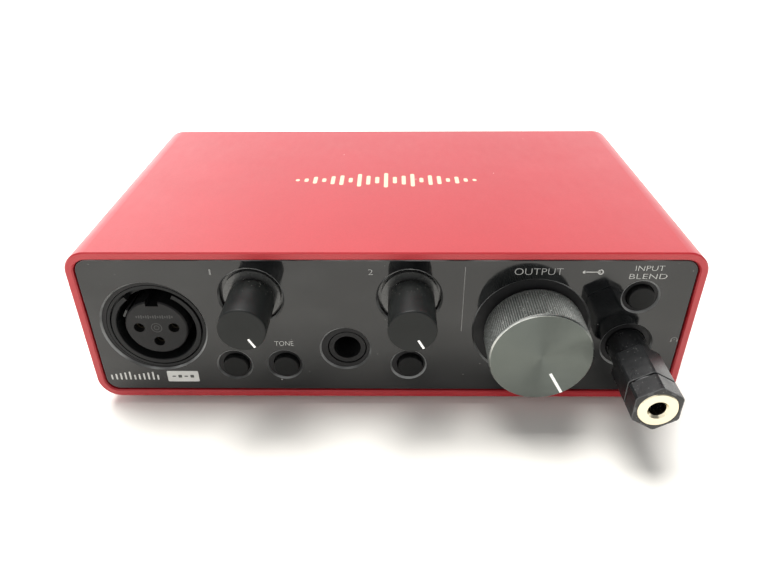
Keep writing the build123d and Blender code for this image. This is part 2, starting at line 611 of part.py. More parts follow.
for name, panel_place in GAIN_PLACES.items():
    axis_place = shifted(panel_place)
    with BuildPart() as pot:
        pot_body(axis_place, 7.5, 10.0, 11.0)
    save(pot.part, f"{name}_pot")

    with BuildPart() as shaft:
        bar(axis_place, GAIN_KNOB_BACK + 1.0, SHAFT_BACK, SHAFT_R)
        d_shaft(axis_place, GAIN_SHAFT_FRONT, GAIN_KNOB_BACK + 1.0)
    save(shaft.part, f"{name}_shaft")

    with BuildPart() as knob:
        bar(axis_place, GAIN_KNOB_FRONT, GAIN_KNOB_BACK, GAIN_KNOB_R)
        knob_face = knob.faces().sort_by(Axis.Y)[0]
        fillet(knob_face.edges(), radius=0.35)
        d_shaft(axis_place, GAIN_SHAFT_FRONT - 0.05, GAIN_KNOB_BACK, SHAFT_FIT, Mode.SUBTRACT)
        pointer_line(axis_place, GAIN_KNOB_FRONT, *GAIN_POINTER, Mode.SUBTRACT)
    save(knob.part, f"{name}_knob")

    with BuildPart() as pointer:
        pointer_line(axis_place, GAIN_KNOB_FRONT, *GAIN_POINTER)
    save(pointer.part, f"{name}_pointer")

MONITOR_AXIS = shifted(MONITOR_PLACE)
KNOB_SKIN = 1.4
CORE_BACK = MONITOR_KNOB_BACK - 0.4
CORE_HOLLOW_FRONT = -3.6
CORE_WALL = 1.3
CORE_HUB_R = 4.6

with BuildPart() as monitor_pot:
    pot_body(MONITOR_AXIS, 7.0, 16.0, 17.0)
save(monitor_pot.part, "monitor_pot")

with BuildPart() as monitor_shaft:
    bar(MONITOR_AXIS, MONITOR_KNOB_BACK + 1.0, SHAFT_BACK, SHAFT_R)
    d_shaft(MONITOR_AXIS, MONITOR_SHAFT_FRONT, MONITOR_KNOB_BACK + 1.0)
save(monitor_shaft.part, "monitor_shaft")

with BuildPart() as monitor_knob:
    bar(MONITOR_AXIS, MONITOR_KNOB_FRONT, MONITOR_KNOB_BACK, MONITOR_KNOB_R)
    monitor_face = monitor_knob.faces().sort_by(Axis.Y)[0]
    chamfer(monitor_face.edges(), length=MONITOR_BEVEL)
    cup_floor = MONITOR_KNOB_FRONT + KNOB_SKIN
    bar(MONITOR_AXIS, cup_floor, MONITOR_KNOB_BACK, MONITOR_KNOB_R - KNOB_SKIN, Mode.SUBTRACT)
    pointer_line(MONITOR_AXIS, MONITOR_KNOB_FRONT, *MONITOR_POINTER, Mode.SUBTRACT)
save(monitor_knob.part, "monitor_knob")

with BuildPart() as monitor_knob_core:
    bar(MONITOR_AXIS, cup_floor, CORE_BACK, MONITOR_KNOB_R - KNOB_SKIN)
    bar(MONITOR_AXIS, CORE_HOLLOW_FRONT, CORE_BACK, MONITOR_KNOB_R - KNOB_SKIN - CORE_WALL, Mode.SUBTRACT)
    bar(MONITOR_AXIS, CORE_HOLLOW_FRONT - 0.2, CORE_BACK, CORE_HUB_R)
    d_shaft(MONITOR_AXIS, MONITOR_SHAFT_FRONT - 0.05, CORE_BACK, SHAFT_FIT, Mode.SUBTRACT)
save(monitor_knob_core.part, "monitor_knob_core")

with BuildPart() as monitor_pointer:
    pointer_line(MONITOR_AXIS, MONITOR_KNOB_FRONT, *MONITOR_POINTER)
save(monitor_pointer.part, "monitor_pointer")

# ---- Push buttons: cap, plunger, and the four latching switches on the front board --------------
CAP_FLANGE = (6.1, 7.1)
CAP_FLANGE_R = 3.6
PLUNGER_R = 1.5
PLUNGER_BACK = 11.5
SWITCH_SIZE = 6.6

for name, panel_place in BUTTON_PLACES.items():
    axis_place = shifted(panel_place)
    with BuildPart() as cap:
        bar(axis_place, BUTTON_FRONT, BUTTON_BACK, BUTTON_R)
        cap_face = cap.faces().sort_by(Axis.Y)[0]
        fillet(cap_face.edges(), radius=0.3)
        bar(axis_place, *CAP_FLANGE, CAP_FLANGE_R)
    save(cap.part, f"{name}_button")

    with BuildPart() as plunger:
        bar(axis_place, BUTTON_BACK, PLUNGER_BACK, PLUNGER_R)
    save(plunger.part, f"{name}_plunger")

with BuildPart() as push_switches:
    for panel_place in BUTTON_PLACES.values():
        axis_place = shifted(panel_place)
        block(axis_place, SWITCH_FRONT, FRONT_BOARD_FRONT, SWITCH_SIZE, SWITCH_SIZE)
        bar(axis_place, SWITCH_FRONT, FRONT_BOARD_FRONT - 0.5, PLUNGER_R + 0.08, Mode.SUBTRACT)
save(push_switches.part, "push_switches")

# ---- USB socket ---------------------------------------------------------------------------------
USB_PLACE = (USB_X, USB_HEIGHT)
USB_FRONT = 74.2
USB_BACK = CASE_DEPTH - 0.6
USB_TONGUE = (6.7, 0.7)

with BuildPart() as usb_shell:
    block(USB_PLACE, USB_FRONT, USB_BACK, USB_WIDTH, USB_TALL, corner=1.6)
    block(USB_PLACE, USB_FRONT + 0.8, USB_BACK, USB_WIDTH - 0.6, USB_TALL - 0.6, Mode.SUBTRACT, 1.3)
save(usb_shell.part, "usb_shell")

with BuildPart() as usb_tongue:
    block(USB_PLACE, USB_FRONT + 0.8, USB_BACK - 1.2, *USB_TONGUE)
save(usb_tongue.part, "usb_tongue")

# ---- Components on the main board: (sideways place, depth from the rim) -------------------------
CHIPS = {(-5.0, 47.0): (14.0, 1.3), (33.0, 46.0): (9.0, 1.1), (-30.0, 36.0): (7.0, 1.1)}
CAPACITORS = ((-8.0, 67.0), (2.0, 67.0), (12.0, 67.0), (12.0, 57.0), (-58.0, 36.0), (-48.0, 36.0))
CAPACITOR_R = 4.0
CAPACITOR_HEIGHT = 9.5
INDUCTORS = ((30.0, 60.0), (39.0, 60.0), (60.0, 62.0))
INDUCTOR_SIDE = 7.0
INDUCTOR_HEIGHT = 4.0

with BuildPart() as chips:
    for (x, depth), (side, thickness) in CHIPS.items():
        with BuildSketch(level(BOARD_TOP)):
            with Locations((x, depth)):
                Rectangle(side, side)
        extrude(amount=thickness)
save(chips.part, "chips")

with BuildPart() as capacitors:
    with BuildSketch(level(BOARD_TOP)):
        with Locations(*CAPACITORS):
            Circle(CAPACITOR_R)
    extrude(amount=CAPACITOR_HEIGHT)
    can_tops = capacitors.faces().filter_by(Axis.Z).group_by(Axis.Z)[-1]
    fillet(can_tops.edges(), radius=0.5)
save(capacitors.part, "capacitors")

with BuildPart() as inductors:
    with BuildSketch(level(BOARD_TOP)):
        with Locations(*INDUCTORS):
            RectangleRounded(INDUCTOR_SIDE, INDUCTOR_SIDE, 1.0)
    extrude(amount=INDUCTOR_HEIGHT)
save(inductors.part, "inductors")

# ---- Rubber feet --------------------------------------------------------------------------------
FOOT_R = 5.5
FOOT_X = 60.0
FOOT_DEPTHS = {"front": 12.0, "rear": 70.0}
FOOT_SIDES = {"left": -FOOT_X, "right": FOOT_X}

for end, depth in FOOT_DEPTHS.items():
    for side, x in FOOT_SIDES.items():
        with BuildPart() as foot:
            with BuildSketch(Plane.XY):
                with Locations((x, FRONT_Y + depth)):
                    Circle(FOOT_R)
            extrude(amount=FOOT_HEIGHT)
            sole = foot.faces().sort_by(Axis.Z)[0]
            chamfer(sole.edges(), length=0.6)
        save(foot.part, f"foot_{end}_{side}")

# ---- Plug adapter, 6.35 mm to 3.5 mm, pushed into the headphone jack ----------------------------
PLUG_END = JACK_FACE + 30.5
SLEEVE_FRONT = -4.0
SLEEVE_BACK = 18.6
RING = (19.8, 23.3)
TIP_START = 24.5
INSULATOR_R = 3.1
NUT_BACK = -19.8
NUT_COUNTERSINK = 0.5
NUT_CHAMFER = 0.2
SHOULDER = JACK_FACE - 0.15

with BuildPart() as adapter_body:
    with BuildSketch(facing(*PHONES_PLACE, HEX_FRONT)):
        RegularPolygon(HEX_CORNER_R, 6, rotation=30)
    extrude(amount=HEX_FRONT - HEX_BACK)
    with BuildSketch(side_profile(*PHONES_PLACE)) as turned_half:
        with BuildLine():
            Polyline(
                (HEX_FRONT, 0),
                (HEX_FRONT, HEX_CORNER_R - 0.45),
                (HEX_FRONT + 0.5, HEX_CORNER_R + 0.1),
                (HEX_GROOVE[0], HEX_CORNER_R + 0.1),
                (HEX_GROOVE[0], HEX_CORNER_R - 0.8),
                (HEX_GROOVE[1], HEX_CORNER_R - 0.8),
                (HEX_GROOVE[1], HEX_CORNER_R + 0.1),
                (HEX_BACK - 1.2, HEX_CORNER_R + 0.1),
                (HEX_BACK, HEX_CORNER_R - 0.9),
                (HEX_BACK, 0),
                close=True,
            )
        make_face()
    revolve(turned_half.sketch, axis=front_axis(*PHONES_PLACE), mode=Mode.INTERSECT)
    bar(PHONES_PLACE, HEX_BACK - 0.5, SHOULDER, NECK_R)
    bar(PHONES_PLACE, HEX_FRONT, NUT_BACK, NUT_R + 0.02, Mode.SUBTRACT)
    bar(PHONES_PLACE, HEX_FRONT, MINI_BORE_BACK, MINI_BORE_R, Mode.SUBTRACT)
    bar(PHONES_PLACE, SLEEVE_FRONT, SHOULDER, PLUG_R, Mode.SUBTRACT)
save(adapter_body.part, "adapter_body")

with BuildPart() as adapter_nut:
    bar(PHONES_PLACE, -ADAPTER_REACH, NUT_BACK, NUT_R)
    bar(PHONES_PLACE, -ADAPTER_REACH, NUT_BACK, MINI_BORE_R, Mode.SUBTRACT)
    hole_rim = adapter_nut.faces().sort_by(Axis.Y)[0].edges().sort_by(SortBy.RADIUS)[0]
    chamfer(hole_rim, length=NUT_COUNTERSINK)
    outer_rim = adapter_nut.faces().sort_by(Axis.Y)[0].edges().sort_by(SortBy.RADIUS)[-1]
    chamfer(outer_rim, length=NUT_CHAMFER)
save(adapter_nut.part, "adapter_nut")

with BuildPart() as adapter_sleeve:
    bar(PHONES_PLACE, SLEEVE_FRONT, SLEEVE_BACK, PLUG_R)
save(adapter_sleeve.part, "adapter_sleeve")

with BuildPart() as adapter_ring:
    bar(PHONES_PLACE, *RING, PLUG_R)
save(adapter_ring.part, "adapter_ring")

with BuildPart() as adapter_insulators:
    bar(PHONES_PLACE, SLEEVE_BACK, RING[0], INSULATOR_R)
    bar(PHONES_PLACE, RING[1], TIP_START, INSULATOR_R)
save(adapter_insulators.part, "adapter_insulators")

with BuildPart() as adapter_tip:
    with BuildSketch(side_profile(*PHONES_PLACE)) as tip_half:
        with BuildLine():
            Polyline(
                (TIP_START, 0),
                (TIP_START, PLUG_R),
                (TIP_START + 0.8, PLUG_R),
                (TIP_START + 1.6, 2.3),
                (TIP_START + 2.4, 2.3),
                (TIP_START + 3.4, PLUG_R - 0.05),
                (PLUG_END - 0.8, 1.1),
                (PLUG_END, 0.5),
                (PLUG_END, 0),
                close=True,
            )
        make_face()
    revolve(tip_half.sketch, axis=front_axis(*PHONES_PLACE))
save(adapter_tip.part, "adapter_tip")
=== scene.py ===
import json
from math import cos, pi, radians, sin

import bmesh
import bpy
from mathutils import Matrix, Vector


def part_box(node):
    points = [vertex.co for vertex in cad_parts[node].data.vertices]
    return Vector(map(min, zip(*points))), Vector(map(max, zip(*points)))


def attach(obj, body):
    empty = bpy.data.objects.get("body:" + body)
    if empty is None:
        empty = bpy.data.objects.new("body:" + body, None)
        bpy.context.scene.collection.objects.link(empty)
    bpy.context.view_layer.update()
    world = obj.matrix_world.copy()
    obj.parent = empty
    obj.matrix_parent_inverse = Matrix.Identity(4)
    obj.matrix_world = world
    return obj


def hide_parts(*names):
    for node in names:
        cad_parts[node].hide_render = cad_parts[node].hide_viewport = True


# Looks for the audio interface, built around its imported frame. Blender units are metres; sizes here are
# in millimetres times MM. X runs right seen from the front, Y to the back, Z up from the feet.

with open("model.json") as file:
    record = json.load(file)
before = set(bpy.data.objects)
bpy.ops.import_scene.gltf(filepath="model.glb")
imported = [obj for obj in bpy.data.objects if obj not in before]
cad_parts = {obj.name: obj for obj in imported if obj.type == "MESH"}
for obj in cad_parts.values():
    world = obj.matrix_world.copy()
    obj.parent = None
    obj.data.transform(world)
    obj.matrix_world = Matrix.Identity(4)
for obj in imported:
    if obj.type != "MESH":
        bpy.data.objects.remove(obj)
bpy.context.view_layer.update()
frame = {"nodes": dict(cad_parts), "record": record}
nodes = frame["nodes"]
MM = 0.001
CASE_LOW, CASE_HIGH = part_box("outer_sleeve")


def spot(x, height, depth):
    """A point from its sideways place, height above the case's underside and depth, in millimetres."""
    return Vector((x * MM, CASE_LOW.y + depth * MM, CASE_LOW.z + height * MM))


def middle(node):
    """The middle of a CAD node's box."""
    low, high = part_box(node)
    return (low + high) / 2


FASCIA_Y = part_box("front_fascia")[0].y

# ---- Shader building blocks ---------------------------------------------------------------------


def new_material(name, **sockets):
    """A Principled material with those sockets set."""
    material = bpy.data.materials.new(name)
    material.use_nodes = True
    tree = material.node_tree
    shader = tree.nodes["Principled BSDF"]
    for socket, value in sockets.items():
        shader.inputs[socket.replace("_", " ")].default_value = value
    return material, tree, shader


def add(tree, kind, **settings):
    """A node with its properties set."""
    node = tree.nodes.new(kind)
    for key, value in settings.items():
        setattr(node, key, value)
    return node


def object_coords(tree, stretch=(1, 1, 1), centre=(0, 0, 0)):
    """Object coordinates measured from centre, scaled along each axis."""
    coords = add(tree, "ShaderNodeTexCoord")
    mapping = add(tree, "ShaderNodeMapping")
    mapping.inputs["Scale"].default_value = stretch
    mapping.inputs["Location"].default_value = [-c * s for c, s in zip(centre, stretch)]
    tree.links.new(coords.outputs["Object"], mapping.inputs["Vector"])
    return mapping.outputs["Vector"]


def millimetres_along(tree):
    """The shaded point's X, Y and Z in the object's own frame, in millimetres."""
    parts = add(tree, "ShaderNodeSeparateXYZ")
    tree.links.new(object_coords(tree, (1 / MM, 1 / MM, 1 / MM)), parts.inputs["Vector"])
    return parts.outputs


def noise(tree, size, detail=3.0, stretch=(1, 1, 1), roughness=0.55):
    """Noise whose features are about that many millimetres across."""
    texture = add(tree, "ShaderNodeTexNoise")
    texture.inputs["Scale"].default_value = 1.0 / (size * MM)
    texture.inputs["Detail"].default_value = detail
    texture.inputs["Roughness"].default_value = roughness
    tree.links.new(object_coords(tree, stretch), texture.inputs["Vector"])
    return texture.outputs["Fac"]


def remap(tree, value, low, high, from_low=0.3, from_high=0.7):
    """The value carried from one range to another, held inside it."""
    node = add(tree, "ShaderNodeMapRange", clamp=True)
    for socket, number in zip(("From Min", "From Max", "To Min", "To Max"), (from_low, from_high, low, high)):
        node.inputs[socket].default_value = number
    tree.links.new(value, node.inputs["Value"])
    return node.outputs["Result"]


def combine(tree, operation, a, b=0.0):
    """A Math node on one or two values, either of which may be a number."""
    node = add(tree, "ShaderNodeMath", operation=operation)
    for socket, value in zip(node.inputs, (a, b)):
        if isinstance(value, (int, float)):
            socket.default_value = value
        else:
            tree.links.new(value, socket)
    return node.outputs["Value"]


def blend_colors(tree, factor, first, second):
    """One colour or the other as factor goes from 0 to 1; each of the three may be a socket."""
    node = add(tree, "ShaderNodeMix", data_type="RGBA")
    if isinstance(factor, float):
        node.inputs["Factor"].default_value = factor
    else:
        tree.links.new(factor, node.inputs["Factor"])
    ends = [socket for socket in node.inputs if socket.type == "RGBA"]
    for socket, colour in zip(ends, (first, second)):
        if isinstance(colour, tuple):
            socket.default_value = (*colour, 1.0)
        else:
            tree.links.new(colour, socket)
    return next(socket for socket in node.outputs if socket.type == "RGBA")


def bump(tree, shader, height, millimetres, strength=1.0):
    """Raise the surface by that many millimetres where height is 1."""
    node = add(tree, "ShaderNodeBump")
    node.inputs["Distance"].default_value = millimetres * MM
    node.inputs["Strength"].default_value = strength
    tree.links.new(height, node.inputs["Height"])
    tree.links.new(node.outputs["Normal"], shader.inputs["Normal"])


def dress(tree, shader, colour, roughness):
    """Give the shader its colour and roughness from two sockets."""
    tree.links.new(colour, shader.inputs["Base Color"])
    tree.links.new(roughness, shader.inputs["Roughness"])


SPECK_CORE = 0.6  # of a speck's radius, solid inside it and fading outside


def specks(tree, spacing, radius, share):
    """A mask of scattered dust specks: 1 inside a speck. share is how many of the cells hold one."""
    texture = add(tree, "ShaderNodeTexVoronoi")
    texture.inputs["Scale"].default_value = 1.0 / (spacing * MM)
    tree.links.new(object_coords(tree), texture.inputs["Vector"])
    near = remap(tree, texture.outputs["Distance"], 1.0, 0.0, radius * SPECK_CORE, radius)
    chosen = add(tree, "ShaderNodeSeparateColor")
    tree.links.new(texture.outputs["Color"], chosen.inputs["Color"])
    picked = combine(tree, "LESS_THAN", chosen.outputs["Red"], share)
    return combine(tree, "MULTIPLY", near, picked)


DUST_GREY = (0.16, 0.16, 0.155)
DUST_GRAIN = (0.6, 0.17)  # millimetres between specks, and a speck's share of that


def moulded(name, colour, gloss, grain=0.35, relief=0.012, variation=0.25, dust=0.0, **sockets):
    """Moulded or painted stuff: mottled colour, uneven gloss, a fine surface grain and perhaps dust."""
    material, tree, shader = new_material(name, **sockets)
    patches = noise(tree, 9.0, 4.0)
    darker = tuple(c * (1 - variation) for c in colour)
    lighter = tuple(min(1.0, c * (1 + variation)) for c in colour)
    body = blend_colors(tree, remap(tree, patches, 0.0, 1.0), darker, lighter)
    if dust:
        body = blend_colors(tree, specks(tree, *DUST_GRAIN, dust), body, DUST_GREY)
    wear = combine(tree, "ADD", remap(tree, noise(tree, 3.0, 5.0), -0.05, 0.07), gloss)
    dress(tree, shader, body, wear)
    bump(tree, shader, noise(tree, grain, 2.0), relief)
    return material


# ---- Materials ----------------------------------------------------------------------------------
WAVE_STEP = 2.4  # from one bar to the next
WAVE_END = 10.5  # bars each side of the middle, and a half
WAVE_DEPTH = 41.0  # behind the case's front
WAVE_TALLEST = 10.0
WAVE_TURN = 2.3  # radians of swing from one bar to the next
WAVE_LIFT = 1.7  # added to the swing, so that no bar shrinks away
BAR_R = 0.55
BAR_BLUR = 0.03
TOP_BAND = 0.5  # how far below the case's top the print may reach
PRINT_CREAM = (0.62, 0.47, 0.33)


def top_wave(tree):
    """A mask for the plain waveform of upright bars printed on the case's top."""
    here = millimetres_along(tree)
    steps = combine(tree, "DIVIDE", here["X"], WAVE_STEP)
    bar_number = combine(tree, "ROUND", steps)
    across = combine(tree, "MULTIPLY", combine(tree, "SUBTRACT", steps, bar_number), WAVE_STEP)
    from_centre = combine(tree, "ABSOLUTE", combine(tree, "DIVIDE", bar_number, WAVE_END))
    taper = combine(tree, "POWER", from_centre, 2.0)
    swing = combine(tree, "COSINE", combine(tree, "MULTIPLY", bar_number, WAVE_TURN))
    gain = (WAVE_TALLEST / 2 - BAR_R) / (1 + WAVE_LIFT)
    swell = combine(tree, "MULTIPLY", combine(tree, "ADD", swing, WAVE_LIFT), gain)
    half_tall = combine(tree, "MULTIPLY", combine(tree, "SUBTRACT", 1.0, taper), swell)
    from_middle = combine(tree, "SUBTRACT", here["Y"], CASE_LOW.y / MM + WAVE_DEPTH)
    past_end = combine(tree, "SUBTRACT", combine(tree, "ABSOLUTE", from_middle), half_tall)
    beyond = combine(tree, "MAXIMUM", past_end, 0.0)
    squares = combine(tree, "ADD", combine(tree, "POWER", across, 2.0), combine(tree, "POWER", beyond, 2.0))
    inside = remap(tree, combine(tree, "SQRT", squares), 1.0, 0.0, BAR_R - BAR_BLUR, BAR_R + BAR_BLUR)
    in_row = combine(tree, "LESS_THAN", combine(tree, "ABSOLUTE", bar_number), WAVE_END)
    on_lid = combine(tree, "GREATER_THAN", here["Z"], CASE_HIGH.z / MM - TOP_BAND)
    return combine(tree, "MULTIPLY", combine(tree, "MULTIPLY", inside, in_row), on_lid)


def anodised_red():
    """Dyed, bead-blasted aluminium with a clear seal: fine grain, soft wear and faint handling marks."""
    material, tree, shader = new_material("red_anodised", Metallic=0.15, Coat_Weight=0.25, Coat_Roughness=0.3)
    clouds = remap(tree, noise(tree, 22.0, 4.0), 0.0, 1.0)
    grain = remap(tree, noise(tree, 0.45, 2.0), 0.0, 1.0, 0.25, 0.75)
    body = blend_colors(tree, clouds, (0.33, 0.0080, 0.013), (0.37, 0.010, 0.017))
    speckled = blend_colors(tree, grain, (0.31, 0.006, 0.011), (0.40, 0.013, 0.020))
    wear_and_painted_highlight = blend_colors(tree, 0.45, body, speckled)
    nicks = specks(tree, 7.0, 0.030, 0.3)
    plain = blend_colors(tree, nicks, wear_and_painted_highlight, (0.62, 0.45, 0.43))
    brushed = remap(tree, noise(tree, 2.4, 5.0, (1.0, 0.4, 1.0)), -0.015, 0.03)
    handled = remap(tree, noise(tree, 14.0, 4.0), 0.39, 0.44)
    rough = combine(tree, "ADD", brushed, handled)
    dress(tree, shader, blend_colors(tree, top_wave(tree), plain, PRINT_CREAM), rough)
    bump(tree, shader, noise(tree, 0.22, 2.0), 0.006)
    return material


CUT_EDGE_TURN = (-0.95, -0.80)  # a normal's Y where a cut edge starts, and where it is full


def gloss_panel():
    """Polished black overlay with fingerprints, settled dust and a few light scratches."""
    material, tree, shader = new_material("gloss_black_panel", IOR=1.5)
    dust = specks(tree, 1.9, 0.060, 0.25)
    lint = specks(tree, 6.5, 0.040, 0.35)
    marks = combine(tree, "MAXIMUM", dust, lint)
    haze = remap(tree, noise(tree, 16.0, 5.0, (1.0, 1.0, 1.6)), 0.0, 1.0, 0.45, 0.75)
    base = blend_colors(tree, haze, (0.0022, 0.0026, 0.0030), (0.0130, 0.0138, 0.0140))
    dusted = blend_colors(tree, marks, base, (0.22, 0.22, 0.21))
    facing = add(tree, "ShaderNodeSeparateXYZ")
    tree.links.new(add(tree, "ShaderNodeNewGeometry").outputs["True Normal"], facing.inputs["Vector"])
    cut = remap(tree, facing.outputs["Y"], 0.0, 1.0, *CUT_EDGE_TURN)
    # Cut edges round the openings: matte grey from nearly black to light, the light patches being painted
    # highlights on the chamfers.
    edge_highlight_patches = remap(tree, noise(tree, 11.0, 2.0), 0.0, 1.0, 0.42, 0.62)
    edge = blend_colors(tree, edge_highlight_patches, (0.035, 0.036, 0.036), (0.22, 0.225, 0.225))
    smears = remap(tree, noise(tree, 7.0, 6.0, (0.5, 1.0, 1.5)), 0.01, 0.12, 0.4, 0.7)
    dull = combine(tree, "MULTIPLY", combine(tree, "MAXIMUM", marks, cut), 0.5)
    rough = combine(tree, "ADD", dull, combine(tree, "ADD", smears, 0.03))
    dress(tree, shader, blend_colors(tree, cut, dusted, edge), rough)
    bump(tree, shader, noise(tree, 30.0, 2.0), 0.010)
    return material


KNOB_FOOT = (7.0, 2.0)  # dust starts this far in front of the overlay, and is thickest this far


def rubbed_knob():
    """Soft black knob plastic, polished by fingers and dusty near its foot."""
    material, tree, shader = new_material("gain_knob_plastic", Specular_IOR_Level=0.19)
    coords = add(tree, "ShaderNodeSeparateXYZ")
    tree.links.new(object_coords(tree), coords.inputs["Vector"])
    clean, dusty = (FASCIA_Y - reach * MM for reach in KNOB_FOOT)
    foot = remap(tree, coords.outputs["Y"], 0.0, 1.0, clean, dusty)
    dust = combine(tree, "MULTIPLY", specks(tree, 0.8, 0.16, 0.45), foot)
    scuffs = combine(tree, "MULTIPLY", remap(tree, noise(tree, 1.2, 5.0), 0.0, 0.5, 0.5, 0.8), foot)
    patches = remap(tree, noise(tree, 6.0, 4.0), 0.0, 1.0)
    plain = blend_colors(tree, patches, (0.0060, 0.0070, 0.0068), (0.0092, 0.0104, 0.0101))
    rubbed = blend_colors(tree, scuffs, plain, (0.045, 0.045, 0.040))
    polished = remap(tree, noise(tree, 3.0, 5.0), 0.33, 0.45)
    dress(tree, shader, blend_colors(tree, dust, rubbed, (0.26, 0.26, 0.24)), polished)
    bump(tree, shader, noise(tree, 0.3, 2.0), 0.006)
    return material


RING_PITCH = 0.314  # a wave texture repeats every this many units at scale 1
ACROSS_THE_RINGS = 0.25  # of a turn, from along a ring to across it


def spun_metal(name, colour, centre, roughness, anisotropy, pitch):
    """Turned metal: fine rings about an axis running front to back, and highlights drawn out across them."""
    turned = dict(Anisotropic=anisotropy, Anisotropic_Rotation=ACROSS_THE_RINGS)
    material, tree, shader = new_material(name, Metallic=1.0, **turned)
    coords = object_coords(tree, centre=centre)
    rings = add(tree, "ShaderNodeTexWave", wave_type="RINGS", rings_direction="Y")
    rings.inputs["Scale"].default_value = RING_PITCH / (pitch * MM)
    rings.inputs["Distortion"].default_value = 0.8
    rings.inputs["Detail"].default_value = 2.0
    tree.links.new(coords, rings.inputs["Vector"])
    patches = remap(tree, noise(tree, 5.0, 4.0), 0.0, 1.0)
    shade = blend_colors(tree, patches, tuple(c * 0.94 for c in colour), colour)
    groove = remap(tree, rings.outputs["Fac"], 0.0, 0.35, 0.9, 0.1)
    dark = tuple(c * 0.55 for c in colour)
    rough = combine(tree, "ADD", remap(tree, noise(tree, 4.0, 4.0), -0.01, 0.02), roughness)
    dress(tree, shader, blend_colors(tree, groove, shade, dark), rough)
    tangent = add(tree, "ShaderNodeTangent", direction_type="RADIAL", axis="Y")
    tree.links.new(tangent.outputs["Tangent"], shader.inputs["Tangent"])
    bump(tree, shader, rings.outputs["Fac"], 0.002)
    return material


KNURL_DEPTH = 0.3


def knurled_metal(radius):
    """Dark anodising over the ribs: rubbed lighter on their tips, darker between them as painted shade, with
    painted glints.
    """
    material, tree, shader = new_material("monitor_rib_metal", Metallic=0.65)
    here = millimetres_along(tree)
    squares = [combine(tree, "POWER", here[axis], 2.0) for axis in ("X", "Z")]
    from_axis = combine(tree, "SQRT", combine(tree, "ADD", *squares))
    # Lighter at the rib tips, which are rubbed, and darker down in the grooves, which is painted shade.
    tip = remap(tree, from_axis, 0.0, 1.0, radius - KNURL_DEPTH, radius - KNURL_DEPTH / 4)
    crossed = remap(tree, noise(tree, 0.45, 2.0), 0.35, 1.0)
    rubbed = combine(tree, "MULTIPLY", tip, crossed)
    body = blend_colors(tree, rubbed, (0.045, 0.049, 0.046), (0.30, 0.315, 0.30))
    # Bright specks: painted glints on the ribs.
    painted_glints = specks(tree, 0.55, 0.22, 0.16)
    with_painted_glints = blend_colors(tree, painted_glints, body, (0.72, 0.73, 0.70))
    dress(tree, shader, with_painted_glints, remap(tree, noise(tree, 1.5, 4.0), 0.30, 0.44))
    bump(tree, shader, noise(tree, 0.25, 2.0), 0.012)
    return material


HIGHLIGHT_SIDE = {"X": -0.62, "Z": 0.78}  # the way to the side of the bevel that carries the painted highlight
HIGHLIGHT_REACH = (6.5, 10.5)  # from the axis along that way: where the painted highlight starts, and where it is full


def bevel_with_painted_highlight():
    """The face's edge: dark metal with a painted highlight, bright over a third of the way round on the upper
    left.
    """
    material, tree, shader = new_material("monitor_bevel_metal", Metallic=1.0)
    here = millimetres_along(tree)
    sideways, upward = (combine(tree, "MULTIPLY", here[axis], share) for axis, share in HIGHLIGHT_SIDE.items())
    # Painted highlight: the bevel is lighter towards its upper left side, broken up by noise.
    wear_and_painted_highlight = remap(tree, combine(tree, "ADD", sideways, upward), 0.0, 1.0, *HIGHLIGHT_REACH)
    broken_highlight = combine(tree, "MULTIPLY", wear_and_painted_highlight, remap(tree, noise(tree, 2.5, 3.0), 0.6, 1.0))
    highlit_colour = blend_colors(tree, broken_highlight, (0.15, 0.16, 0.15), (0.60, 0.61, 0.58))
    dress(tree, shader, highlit_colour, remap(tree, noise(tree, 1.5, 4.0), 0.22, 0.34))
    return material


def brushed_metal(name, colour, roughness, size=0.3, stretch=(1, 0.1, 1)):
    """Plated or machined metal with fine directional marks."""
    material, tree, shader = new_material(name, Metallic=1.0)
    marks = noise(tree, size, 3.0, stretch)
    darker = tuple(c * 0.8 for c in colour)
    streaked = blend_colors(tree, remap(tree, marks, 0.0, 1.0), darker, colour)
    rough = combine(tree, "ADD", remap(tree, noise(tree, 2.0, 4.0), -0.05, 0.08), roughness)
    dress(tree, shader, streaked, rough)
    bump(tree, shader, marks, 0.004)
    return material


def circuit_board():
    """Green solder mask over routed copper, with plated vias."""
    material, tree, shader = new_material("circuit_board", Coat_Weight=0.4, Coat_Roughness=0.15)
    cells = add(tree, "ShaderNodeTexVoronoi", feature="DISTANCE_TO_EDGE")
    cells.inputs["Scale"].default_value = 1.0 / (3.2 * MM)
    tree.links.new(object_coords(tree), cells.inputs["Vector"])
    tracks = remap(tree, cells.outputs["Distance"], 1.0, 0.0, 0.03, 0.06)
    uneven = remap(tree, noise(tree, 6.0), 0.0, 1.0)
    mask = blend_colors(tree, uneven, (0.006, 0.075, 0.028), (0.010, 0.10, 0.04))
    routed = blend_colors(tree, tracks, mask, (0.03, 0.20, 0.07))
    vias = specks(tree, 2.6, 0.13, 0.35)
    plated = blend_colors(tree, vias, routed, (0.75, 0.68, 0.5))
    dress(tree, shader, plated, remap(tree, noise(tree, 3.0, 4.0), 0.3, 0.45))
    bump(tree, shader, tracks, 0.03)
    return material


